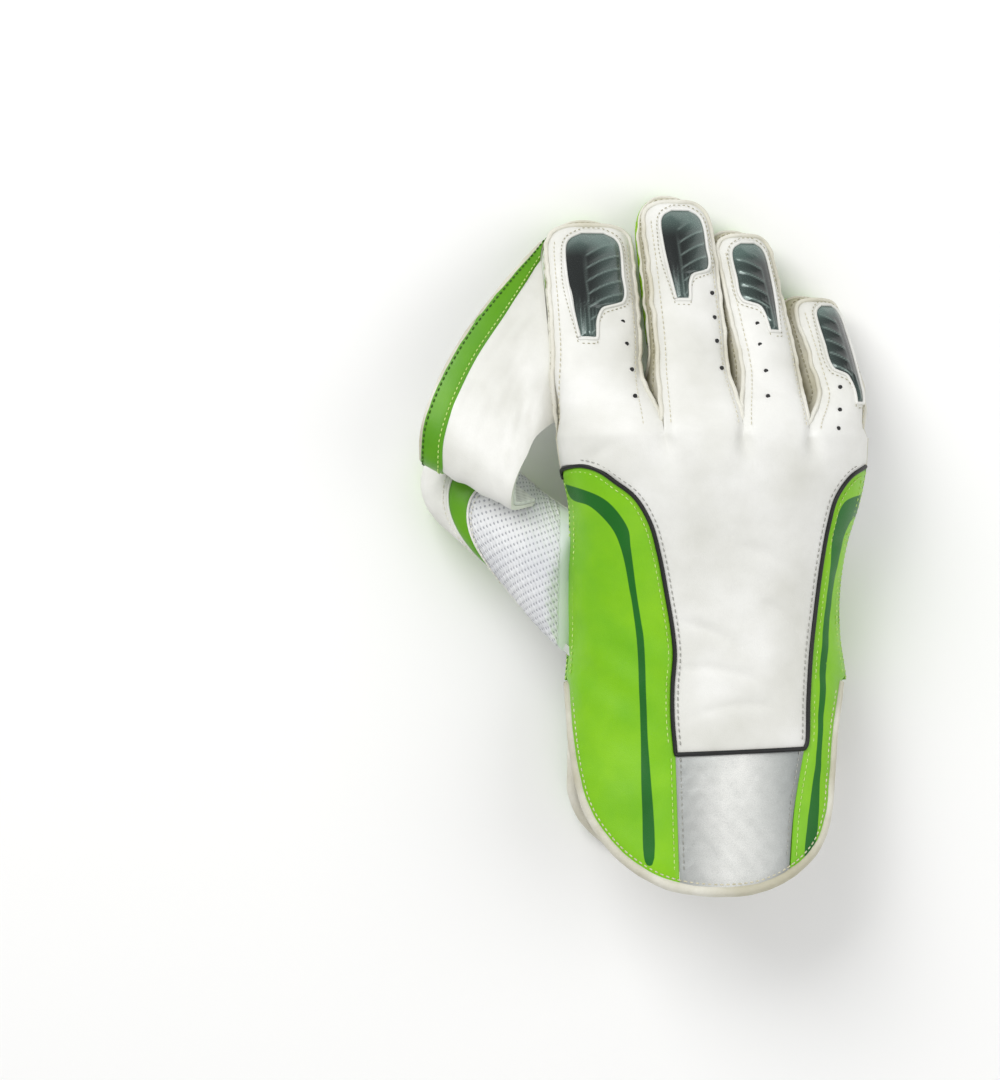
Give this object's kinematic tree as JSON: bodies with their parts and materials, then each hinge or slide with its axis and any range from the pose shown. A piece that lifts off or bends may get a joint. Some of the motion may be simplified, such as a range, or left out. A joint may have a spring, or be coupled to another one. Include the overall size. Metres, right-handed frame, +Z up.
{
  "type": "wicketkeeping glove",
  "caption": "Padded right-hand wicketkeeping glove with dimpled rubber palm and fingertips, moulded finger guards, catching web and a gauntlet split into two flaps.",
  "frame": {"origin": "centre of the footprint on the surface that the glove lies on", "axes": "+Y from the gauntlet to the fingertips, +X from the thumb to the little finger, +Z up out of the back of the hand"},
  "size_m": [0.194, 0.302, 0.0859],
  "materials": {
    "white_leather": "smooth padded leather",
    "cream_leather": "soft leather, rolled edges and side walls",
    "white_mesh": "perforated leather",
    "white_rubber": "dimpled rubber facing",
    "green_leather": "smooth coated leather with printed stripes",
    "green_rubber": "dimpled rubber facing",
    "silver_leather": "grained metallic leather",
    "guard": "glossy moulded plastic with raised ribs",
    "black_piping": "thin piping"
  },
  "bodies": {
    "root": {"back_panel": "white_leather", "back_piping": "black_piping", "thumb_side_panel": "green_leather", "little_side_panel": "green_leather", "cuff_back_panel": "silver_leather", "cuff_back_binding": "cream_leather", "palm_face": "white_rubber", "palm_thumb_patch": "green_rubber", "palm_little_patch": "green_rubber", "cuff_palm_thumb_panel": "green_leather", "cuff_palm_centre_panel": "white_leather", "cuff_palm_little_panel": "green_leather", "cuff_palm_binding": "cream_leather", "thumb_base_mesh": "white_mesh", "thumb_stripe": "green_leather", "thumb_back": "white_leather", "thumb_heel": "white_rubber", "thumb_pad": "green_rubber", "web_leather": "white_leather", "web_border": "green_leather", "web_rubber": "white_rubber", "web_binding": "cream_leather", "finger_back_index": "white_leather", "finger_gusset_index": "cream_leather", "finger_front_index": "white_rubber", "finger_pad_index": "green_rubber", "finger_guard_index": "guard", "finger_back_middle": "white_leather", "finger_gusset_middle": "cream_leather", "finger_front_middle": "white_rubber", "finger_pad_middle": "green_rubber", "finger_guard_middle": "guard", "finger_back_ring": "white_leather", "finger_gusset_ring": "cream_leather", "finger_front_ring": "white_rubber", "finger_pad_ring": "green_rubber", "finger_guard_ring": "guard", "finger_back_little": "white_leather", "finger_gusset_little": "cream_leather", "finger_front_little": "white_rubber", "finger_pad_little": "green_rubber", "finger_guard_little": "guard"}
  },
  "joints": []
}
